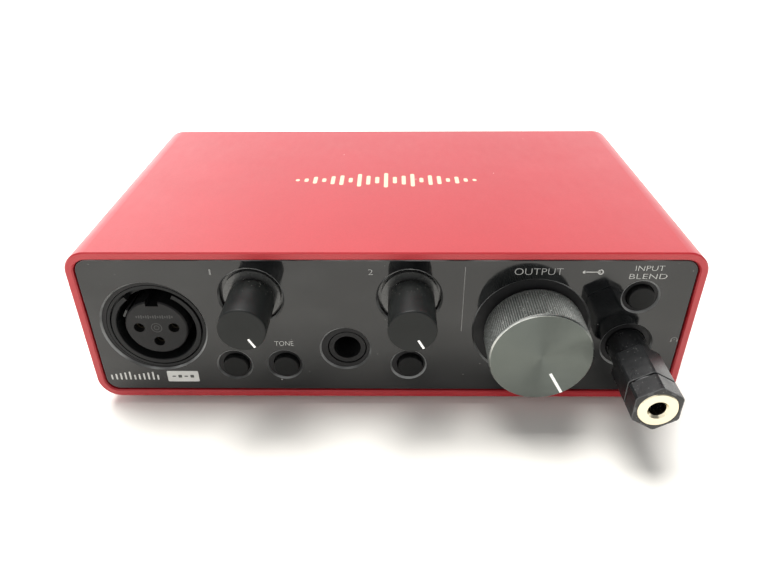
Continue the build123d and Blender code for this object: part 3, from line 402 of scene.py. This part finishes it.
MOULDINGS = {
    "black_moulding": dict(colour=(0.009, 0.009, 0.0095), gloss=0.48, Specular_IOR_Level=0.2),
    "black_satin_metal": dict(colour=(0.009, 0.0095, 0.010), gloss=0.36, grain=0.25, Specular_IOR_Level=0.16),
    "smoked_light_guide": dict(colour=(0.040, 0.041, 0.040), gloss=0.26, relief=0.003, Coat_Weight=0.3),
    "button_plastic": dict(colour=(0.005, 0.0053, 0.0053), gloss=0.42, grain=0.3, Specular_IOR_Level=0.13),
    "pointer_white": dict(colour=(0.88, 0.88, 0.86), gloss=0.35, relief=0.003, variation=0.04),
    "knob_core_plastic": dict(colour=(0.02, 0.02, 0.02), gloss=0.5),
    "chip_plastic": dict(colour=(0.02, 0.02, 0.02), gloss=0.55, grain=0.2),
    "foot_rubber": dict(colour=(0.02, 0.02, 0.02), gloss=0.75, grain=0.5, relief=0.03),
    "adapter_plastic": dict(
        colour=(0.009, 0.0095, 0.010), gloss=0.30, dust=0.5, relief=0.035, Specular_IOR_Level=0.4
    ),
}
KNOB_METAL = (0.125, 0.138, 0.127)
NUT_METAL = (0.72, 0.66, 0.50)

materials = {name: moulded(name, **settings) for name, settings in MOULDINGS.items()}
materials["red_anodised"] = anodised_red()
materials["gloss_black_panel"] = gloss_panel()
materials["gain_knob_plastic"] = rubbed_knob()
materials["steel"] = brushed_metal("steel", (0.62, 0.62, 0.61), 0.3)
materials["gold_contact"] = brushed_metal("gold_contact", (0.86, 0.62, 0.28), 0.22)
materials["capacitor_can"] = brushed_metal("capacitor_can", (0.74, 0.74, 0.76), 0.28, 0.4, (1, 1, 0.15))
materials["circuit_board"] = circuit_board()
materials["nickel_nut"] = spun_metal("nickel_nut", NUT_METAL, middle("adapter_nut"), 0.2, 0.4, 0.12)
knob_axis = middle("monitor_knob")
materials["knob_aluminium"] = spun_metal("knob_aluminium", KNOB_METAL, knob_axis, 0.46, 0.9, 0.16)
# The ground spring: dark grey, not metal, painted shade inside the microphone socket.
spring_painted_shade = moulded("spring_painted_shade", (0.045, 0.045, 0.045), 0.5, Specular_IOR_Level=0.2)
# The socket contacts: gold darkened to brown, painted shade where they sit deep in the socket.
gold_contact_painted_shade = brushed_metal("gold_contact_painted_shade", (0.10, 0.085, 0.06), 0.4)
blackened_steel = brushed_metal("blackened_steel", (0.085, 0.087, 0.09), 0.36)
nut_plating = brushed_metal("nut_plating", (0.36, 0.36, 0.35), 0.34)

node_slot = {entry["node"]: entry["material_slot"] for entry in frame["record"]["subparts"]}
looks = {name: materials[slot] for name, slot in node_slot.items()}
looks["xlr_ground_spring"] = spring_painted_shade
looks["xlr_contacts"] = gold_contact_painted_shade
looks["case_screws"] = blackened_steel
looks["jack_nuts"] = nut_plating
for node_name, node in nodes.items():
    for holder in node.material_slots:
        holder.material = looks[node_name]

# ---- Mesh pieces --------------------------------------------------------------------------------


def piece(name, mesh, body, material, place, sharp=30.0):
    """A named piece standing at a place and riding on a body, shaded smooth up to the sharp angle."""
    mesh.name = name
    mesh.materials.clear()
    mesh.materials.append(material)
    mesh.polygons.foreach_set("use_smooth", [True] * len(mesh.polygons))
    mesh.set_sharp_from_angle(angle=radians(sharp))
    obj = bpy.data.objects.new(name, mesh)
    obj.matrix_world = place
    bpy.context.scene.collection.objects.link(obj)
    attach(obj, body)
    return obj


def mesh_from(build):
    """A mesh made by a function that fills a bmesh."""
    bm = bmesh.new()
    build(bm)
    bmesh.ops.recalc_face_normals(bm, faces=bm.faces)
    mesh = bpy.data.meshes.new("mesh")
    bm.to_mesh(mesh)
    bm.free()
    return mesh


def ring_surface(bm, rings):
    """Join rings of points into a surface; a ring of a single point closes an end."""
    made = [[bm.verts.new(point) for point in ring] for ring in rings]
    for near, far in zip(made, made[1:]):
        count = max(len(near), len(far))
        for i in range(count):
            j = (i + 1) % count
            if len(near) == 1:
                bm.faces.new((near[0], far[i], far[j]))
            elif len(far) == 1:
                bm.faces.new((near[i], far[0], near[j]))
            else:
                bm.faces.new((near[i], far[i], far[j], near[j]))


def ring_of(count, depth, reach):
    """A ring of points at a depth, each as far from the axis as reach gives for its number."""
    points = []
    for i in range(count):
        angle = 2 * pi * i / count
        points.append((reach(i) * MM * cos(angle), depth * MM, reach(i) * MM * sin(angle)))
    return points


# The monitor knob: knurled side between two plain lands, polished bevel, face dished by a hair.
KNURL_COUNT = 128
POINTS_PER_RIB = 4
FACE_DISH = 0.05
BEVEL_DEPTH = 0.27
RIBS_START = 0.75  # behind the face
RIBS_STOP = 0.9  # in front of the knob's back
RIM_INSIDE = 0.966  # of the knob's radius: faces further out are ribs or bevel


def monitor_knob_mesh():
    low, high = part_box("monitor_knob")
    core_low, core_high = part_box("monitor_knob_core")
    radius = (high.x - low.x) / 2 / MM
    back = (high.y - low.y) / MM
    inner = (core_high.x - core_low.x) / 2 / MM
    cup_floor = (core_low.y - low.y) / MM

    def plain(depth, reach):
        return ring_of(KNURL_COUNT * POINTS_PER_RIB, depth, lambda i: reach)

    def ribbed(depth):
        def reach(i):
            across = abs(2 * (i % POINTS_PER_RIB) / POINTS_PER_RIB - 1)
            return radius - KNURL_DEPTH * across

        return ring_of(KNURL_COUNT * POINTS_PER_RIB, depth, reach)

    # Each ring is a depth behind the face and a distance from the axis.
    dished_face = [(0.04, radius * 0.35), (0.02, radius * 0.7), (0.01, radius - 0.38)]
    bevel = [(0.02, radius - 0.32), (0.20, radius - 0.10), (0.28, radius - 0.04), (0.55, radius - 0.04)]
    rear_land = [(back - 0.7, radius - 0.15), (back - 0.1, radius - 0.15), (back, radius - 0.3)]
    cup = [(back, inner), (cup_floor, inner)]
    rings = [[(0, FACE_DISH * MM, 0)]]
    rings += [plain(*ring) for ring in dished_face + bevel]
    rings += [ribbed(RIBS_START), ribbed(back - RIBS_STOP)]
    rings += [plain(*ring) for ring in rear_land + cup]
    rings += [[(0, cup_floor * MM, 0)]]
    return mesh_from(lambda bm: ring_surface(bm, rings))


knob_low, knob_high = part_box("monitor_knob")
knob_front = Vector(((knob_low.x + knob_high.x) / 2, knob_low.y, (knob_low.z + knob_high.z) / 2))
knob_radius = (knob_high.x - knob_low.x) / 2 / MM
knob_metal = spun_metal("monitor_knob_metal", KNOB_METAL, (0, 0, 0), 0.40, 0.95, 0.16)
rib_metal = knurled_metal(knob_radius)
bevel_metal = bevel_with_painted_highlight()
monitor_knob = piece(
    "monitor_knob_turned",
    monitor_knob_mesh(),
    "monitor_control",
    knob_metal,
    Matrix.Translation(knob_front),
    25.0,
)
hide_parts("monitor_knob")
monitor_knob.data.materials.append(rib_metal)
monitor_knob.data.materials.append(bevel_metal)
for polygon in monitor_knob.data.polygons:
    out_from_axis = (polygon.center.x**2 + polygon.center.z**2) ** 0.5
    if out_from_axis > RIM_INSIDE * (knob_high.x - knob_low.x) / 2:
        polygon.material_index = 1 if polygon.center.y > BEVEL_DEPTH * MM else 2

# The plug adapter's body: a hexagonal grip with softened corners, a turned groove and a round neck.
HEX_POINTS = 96
GRIP_LENGTH = 15.55
GROOVE = (5.05, 5.55, 0.75)  # from the front, to, and how deep
NECK_REACH = 4.5
SEAT = (4.32, 2.25)  # the nut's seat: radius and depth
BORE = (1.8, 14.55)  # the small socket: radius and depth
CORNER_TRIM = 0.16
SOFT = 0.12  # how far an edge is eased
REAR_BEVEL = (0.4, 0.3)  # along and in
FRONT_LAND = 0.42  # from the flats in to the front face
GROOVE_INSET = 0.25  # from the corners in to where the groove's depth is measured from
# Painted highlights along the edges: the front, both sides of the groove and the rear bevel, each a depth and
# how far from it.
EDGE_HIGHLIGHT_BANDS = ((0.0, 0.25), (sum(GROOVE[:2]) / 2, 0.45), (GRIP_LENGTH - 0.2, 0.1))
SQUARE_ON = 0.95  # faces turned further than this to the front or back stay plain


def adapter_body_mesh():
    low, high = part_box("adapter_body")
    corner = (high.z - low.z) / 2 / MM
    flat = corner * cos(pi / 6)
    length = (high.y - low.y) / MM

    def hexed(depth, inset):
        def reach(i):
            turn = 2 * pi * i / HEX_POINTS
            from_flat = (turn + pi / 6) % (pi / 3) - pi / 6
            return min((flat - inset) / cos(from_flat), corner - CORNER_TRIM - inset)

        return ring_of(HEX_POINTS, depth, reach)

    def turned(depth, reach):
        return ring_of(HEX_POINTS, depth, lambda i: reach)

    groove_front, groove_back, groove_depth = GROOVE
    groove_floor = corner - GROOVE_INSET - groove_depth
    seat_reach, seat_depth = SEAT
    bore_reach, bore_depth = BORE
    bevel_along, bevel_in = REAR_BEVEL
    rings = [[(0, bore_depth * MM, 0)], turned(bore_depth, bore_reach), turned(seat_depth, bore_reach)]
    rings += [turned(seat_depth, seat_reach), turned(SOFT, seat_reach), turned(0.0, seat_reach + 0.08)]
    rings += [turned(0.0, flat - FRONT_LAND), hexed(SOFT, SOFT), hexed(0.30, 0.0)]
    rings += [hexed(groove_front - SOFT, 0.0), hexed(groove_front, SOFT), turned(groove_front, groove_floor)]
    rings += [turned(groove_back, groove_floor), hexed(groove_back, SOFT), hexed(groove_back + SOFT, 0.0)]
    rings += [hexed(GRIP_LENGTH - bevel_along, 0.0), hexed(GRIP_LENGTH, bevel_in)]
    rings += [turned(GRIP_LENGTH, NECK_REACH), turned(length - 0.2, NECK_REACH)]
    rings += [turned(length, NECK_REACH - 0.2), [(0, length * MM, 0)]]
    return mesh_from(lambda bm: ring_surface(bm, rings))


body_low, body_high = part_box("adapter_body")
body_front = Vector(((body_low.x + body_high.x) / 2, body_low.y, (body_low.z + body_high.z) / 2))
adapter_body = piece(
    "adapter_body_moulded",
    adapter_body_mesh(),
    "adapter",
    materials["adapter_plastic"],
    Matrix.Translation(body_front),
    20.0,
)
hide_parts("adapter_body")
# Faces near those edges get a lighter plastic: painted highlights along the edges.
adapter_body.data.materials.append(moulded("adapter_edge_highlight", (0.055, 0.056, 0.057), 0.34, grain=0.3))
for polygon in adapter_body.data.polygons:
    depth = polygon.center.y / MM
    outside = (polygon.center.x**2 + polygon.center.z**2) ** 0.5 / MM > NECK_REACH
    near_edge = any(abs(depth - place) < reach for place, reach in EDGE_HIGHLIGHT_BANDS)
    if outside and near_edge and abs(polygon.normal.y) < SQUARE_ON:
        polygon.material_index = 1

# ---- Printing: thin raised ink on the fascia, the case top and the rear panel -------------------
INK = 0.02
print_grey = moulded("print_grey", (0.34, 0.34, 0.33), 0.5, relief=0.002, variation=0.12)
print_white = moulded("print_white", (0.46, 0.46, 0.44), 0.5, relief=0.002, variation=0.12)
print_dim = moulded("print_dim", (0.17, 0.17, 0.165), 0.5, relief=0.002, variation=0.12)
print_black = moulded("print_black", (0.03, 0.03, 0.028), 0.5, relief=0.002, variation=0.12)
core_relief = moulded("core_relief", (0.018, 0.018, 0.018), 0.4, relief=0.004, Specular_IOR_Level=0.5)

FACING_FRONT = Matrix.Rotation(pi / 2, 4, "X")
FACING_BACK = Matrix.Rotation(pi, 4, "Z") @ FACING_FRONT
REAR_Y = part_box("rear_panel")[1].y


def on_front(x, height):
    """Where something drawn in XY stands to lie on the fascia."""
    point = spot(x, height, 0)
    point.y = FASCIA_Y - INK * MM
    return Matrix.Translation(point) @ FACING_FRONT


def on_rear(x, height):
    """Where something drawn in XY stands to lie on the rear panel."""
    point = spot(x, height, 0)
    point.y = REAR_Y + INK * MM
    return Matrix.Translation(point) @ FACING_BACK


def flat_shape(bm, outline):
    """A film of ink with that outline in millimetres, lying in the local XY plane."""
    top = [bm.verts.new((x * MM, y * MM, 0)) for x, y in outline]
    bottom = [bm.verts.new((x * MM, y * MM, -INK * MM)) for x, y in outline]
    bm.faces.new(top)
    bm.faces.new(bottom[::-1])
    for i in range(len(outline)):
        j = (i + 1) % len(outline)
        bm.faces.new((bottom[i], bottom[j], top[j], top[i]))


def rounded_box(x, y, width, height, radius, steps=4):
    """A rounded rectangle's outline about a centre."""
    points = []
    for corner, (sx, sy) in enumerate(((1, 1), (-1, 1), (-1, -1), (1, -1))):
        for step in range(steps + 1):
            angle = pi / 2 * (corner + step / steps)
            across = x + sx * (width / 2 - radius) + radius * cos(angle)
            points.append((across, y + sy * (height / 2 - radius) + radius * sin(angle)))
    return points


def arc_band(x, y, inner, outer, start, end, steps=24):
    """The outline of a bent band between two radii, from one angle to another in degrees."""
    angles = [radians(start + (end - start) * i / steps) for i in range(steps + 1)]
    far = [(x + outer * cos(a), y + outer * sin(a)) for a in angles]
    near = [(x + inner * cos(a), y + inner * sin(a)) for a in reversed(angles)]
    return far + near


def printed(name, outlines, place, material):
    """Printing made of outlines in millimetres."""

    def build(bm):
        for outline in outlines:
            flat_shape(bm, outline)

    return piece(name, mesh_from(build), "chassis", material, place)


def lettering(name, text, size, width, place, material, thin=0.035):
    """Plain lettering as a film of ink, its strokes made thinner by thin of its size."""
    curve = bpy.data.curves.new(name, "FONT")
    curve.body = text
    curve.size = size * MM
    curve.align_x = "CENTER"
    curve.align_y = "CENTER"
    curve.offset = -thin * size * MM / 2
    curve.extrude = INK * MM / 2
    curve.resolution_u = 4
    source = bpy.data.objects.new(name + "_source", curve)
    bpy.context.scene.collection.objects.link(source)
    mesh = bpy.data.meshes.new_from_object(source.evaluated_get(bpy.context.evaluated_depsgraph_get()))
    bpy.data.objects.remove(source)
    spans = [vertex.co.x for vertex in mesh.vertices]
    mesh.transform(Matrix.Translation((0, 0, -INK * MM / 2)))
    mesh.transform(Matrix.Scale(width * MM / (max(spans) - min(spans)), 4, (1, 0, 0)))
    return piece(name, mesh, "chassis", material, place)


lettering("input_number_1", "1", 2.3, 0.42, on_front(-39.2, 36.05), print_dim)
lettering("input_number_2", "2", 2.1, 1.05, on_front(-3.15, 36.05), print_grey)
lettering("output_label", "OUTPUT", 2.5, 10.8, on_front(34.35, 36.2), print_grey)
lettering("blend_label_upper", "INPUT", 1.95, 6.4, on_front(58.8, 37.1), print_white)
lettering("blend_label_lower", "BLEND", 1.95, 8.4, on_front(58.8, 35.0), print_white)
lettering("tone_label", "TONE", 2.0, 4.5, on_front(-24.2, 16.2), print_white)
lettering("rear_left_label", "L", 3.0, 1.4, on_rear(-46.0, 28.5), print_white)
lettering("rear_right_label", "R", 3.0, 1.8, on_rear(-22.0, 28.5), print_white)
printed("divider_line", [rounded_box(0, 0, 0.16, 17.5, 0.05)], on_front(18.0, 28.75), print_dim)

# A dot, a line and a ring: the computer connection's mark.
link_mark = [rounded_box(0, 0, 3.6, 0.22, 0.1)]
link_mark += [rounded_box(-1.9, 0, 0.7, 0.7, 0.34)]
link_mark += [arc_band(1.75, 0, 0.42, 0.66, start, start + 180) for start in (0, 180)]
printed("link_mark", link_mark, on_front(46.35, 36.2), print_white)

# A headphone outline near the right edge.
phones_mark = [arc_band(0, 0, 0.62, 0.80, 10, 170)]
phones_mark += [rounded_box(side * 0.71, -0.25, 0.32, 0.75, 0.12) for side in (-1, 1)]
printed("phones_mark", phones_mark, on_front(68.5, 17.6), print_dim)

# A small badge in the lower left corner: rising bars and a filled box.
badge_bars = []
for i in range(11):
    taller = 0.24 * (i % 5)
    badge_bars.append(rounded_box(-9.6 + 1.15 * i, taller / 2 - 0.35, 0.42, 1.5 + taller, 0.15))
printed("badge_bars", badge_bars, on_front(-58.4, 6.1), print_white)
box_place = on_front(-50.2, 6.1)
printed("badge_box", [rounded_box(0, 0, 7.8, 3.3, 0.3)], box_place, print_white)
box_dashes = [rounded_box(1.5 * (i - 1.5), 0, 0.9, 0.35 + 0.5 * (i % 2), 0.15) for i in range(4)]
printed("badge_box_dashes", box_dashes, box_place @ Matrix.Translation((0, 0, INK * MM)), print_black)

# Raised marks on the microphone socket's core: a small ring and a row of dashes.
core_low, core_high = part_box("xlr_insert")
core_middle = (core_low + core_high) / 2
core_place = Matrix.Translation(Vector((core_middle.x, core_low.y - INK * MM, core_middle.z))) @ FACING_FRONT
core_marks = [arc_band(0, 0, 1.15, 1.30, start, start + 180) for start in (0, 180)]
core_marks += [arc_band(0, 0, 0.50, 0.65, start, start + 180) for start in (0, 180)]
core_marks += [rounded_box(0.56 * (i - 7.5), 3.1, 0.32, 0.6 + 0.2 * (i % 3), 0.12) for i in range(16)]
printed("core_marks", core_marks, core_place, core_relief)

# ---- Light, floor and camera --------------------------------------------------------------------
floor_mesh = mesh_from(lambda bm: bmesh.ops.create_grid(bm, x_segments=2, y_segments=2, size=2.5))
floor_plane = bpy.data.objects.new("floor", floor_mesh)
bpy.context.scene.collection.objects.link(floor_plane)
floor_material, floor_tree, floor_shader = new_material("floor_pale", Roughness=0.6)
paper = remap(floor_tree, noise(floor_tree, 60.0, 3.0), 0.0, 1.0)
paper_colour = blend_colors(floor_tree, paper, (0.91, 0.890, 0.84), (0.93, 0.910, 0.86))
floor_tree.links.new(paper_colour, floor_shader.inputs["Base Color"])
floor_mesh.materials.append(floor_material)

# The sky: an even dome, a bright band at the horizon, and a broad window behind the object that fades
# out towards the top. Each fade is where it starts and ends, on directions of length 1.
DOME = 0.30
HORIZON = 1.0
WINDOW = 1.1
SIDE_GAIN = 2.1  # the window's strength at the sides, times that in the middle
BAND_FADE = (0.16, 0.30)
UPWARD_FADE = (0.45, 0.85)
WINDOW_FADE = (0.15, 1.1)
SIDE_FADE = (0.20, 0.42)
LEAN = 0.3  # how far the window leans to the left

world = bpy.data.worlds.new("studio")
bpy.context.scene.world = world
world.use_nodes = True
sky = world.node_tree
sky_coords = add(sky, "ShaderNodeTexCoord")
sky_parts = add(sky, "ShaderNodeSeparateXYZ")
sky.links.new(sky_coords.outputs["Generated"], sky_parts.inputs["Vector"])
sky_x, sky_y, sky_z = (sky_parts.outputs[axis] for axis in "XYZ")
band = remap(sky, sky_z, HORIZON - DOME, 0.0, *BAND_FADE)
upward = remap(sky, sky_z, 1.0, 0.0, *UPWARD_FADE)
towards_back = combine(sky, "SUBTRACT", sky_y, combine(sky, "MULTIPLY", sky_x, LEAN))
window = combine(sky, "MULTIPLY", remap(sky, towards_back, 0.0, WINDOW, *WINDOW_FADE), upward)
to_side = remap(sky, combine(sky, "ABSOLUTE", sky_x), 1.0, SIDE_GAIN, *SIDE_FADE)
window = combine(sky, "MULTIPLY", window, to_side)
soft_light = combine(sky, "ADD", combine(sky, "ADD", band, window), DOME)
background = sky.nodes["Background"]
background.inputs["Color"].default_value = (0.965, 0.982, 1.0, 1.0)
sky.links.new(soft_light, background.inputs["Strength"])


def sun(name, towards, strength, spread, colour=(1.0, 0.988, 0.970)):
    """A broad, distant light shining from that direction."""
    lamp = bpy.data.lights.new(name, "SUN")
    lamp.energy = strength
    lamp.angle = radians(spread)
    lamp.color = colour
    holder = bpy.data.objects.new(name, lamp)
    holder.rotation_euler = Vector(towards).to_track_quat("Z", "Y").to_euler()
    bpy.context.scene.collection.objects.link(holder)


sun("key", (-0.16, 0.30, 0.94), 5.7, 42)
sun("fill", (-0.35, -0.85, 0.36), 0.85, 60)

# The camera stands just in front of the case and looks down on it.
FOCAL_SHARE = 654.18 / 768
CAMERA_PLACE = spot(1.794, 110.322, -125.387)
PITCH = radians(31.939)
YAW = radians(-0.881)
ROLL = radians(-0.406)
camera_data = bpy.data.cameras.new("camera")
camera_data.sensor_width = 36.0
camera_data.lens = FOCAL_SHARE * camera_data.sensor_width
camera_data.clip_start = 0.005
camera_data.clip_end = 20.0
camera = bpy.data.objects.new("camera", camera_data)
bpy.context.scene.collection.objects.link(camera)
forward = Vector((sin(YAW) * cos(PITCH), cos(YAW) * cos(PITCH), -sin(PITCH)))
level_right = Vector((cos(YAW), -sin(YAW), 0))
level_up = level_right.cross(forward)
right = level_right * cos(ROLL) + level_up * sin(ROLL)
up = level_up * cos(ROLL) - level_right * sin(ROLL)
turn = Matrix((right, up, -forward)).transposed().to_4x4()
camera.matrix_world = Matrix.Translation(CAMERA_PLACE) @ turn
bpy.context.scene.camera = camera
bpy.context.scene.view_settings.view_transform = "Standard"
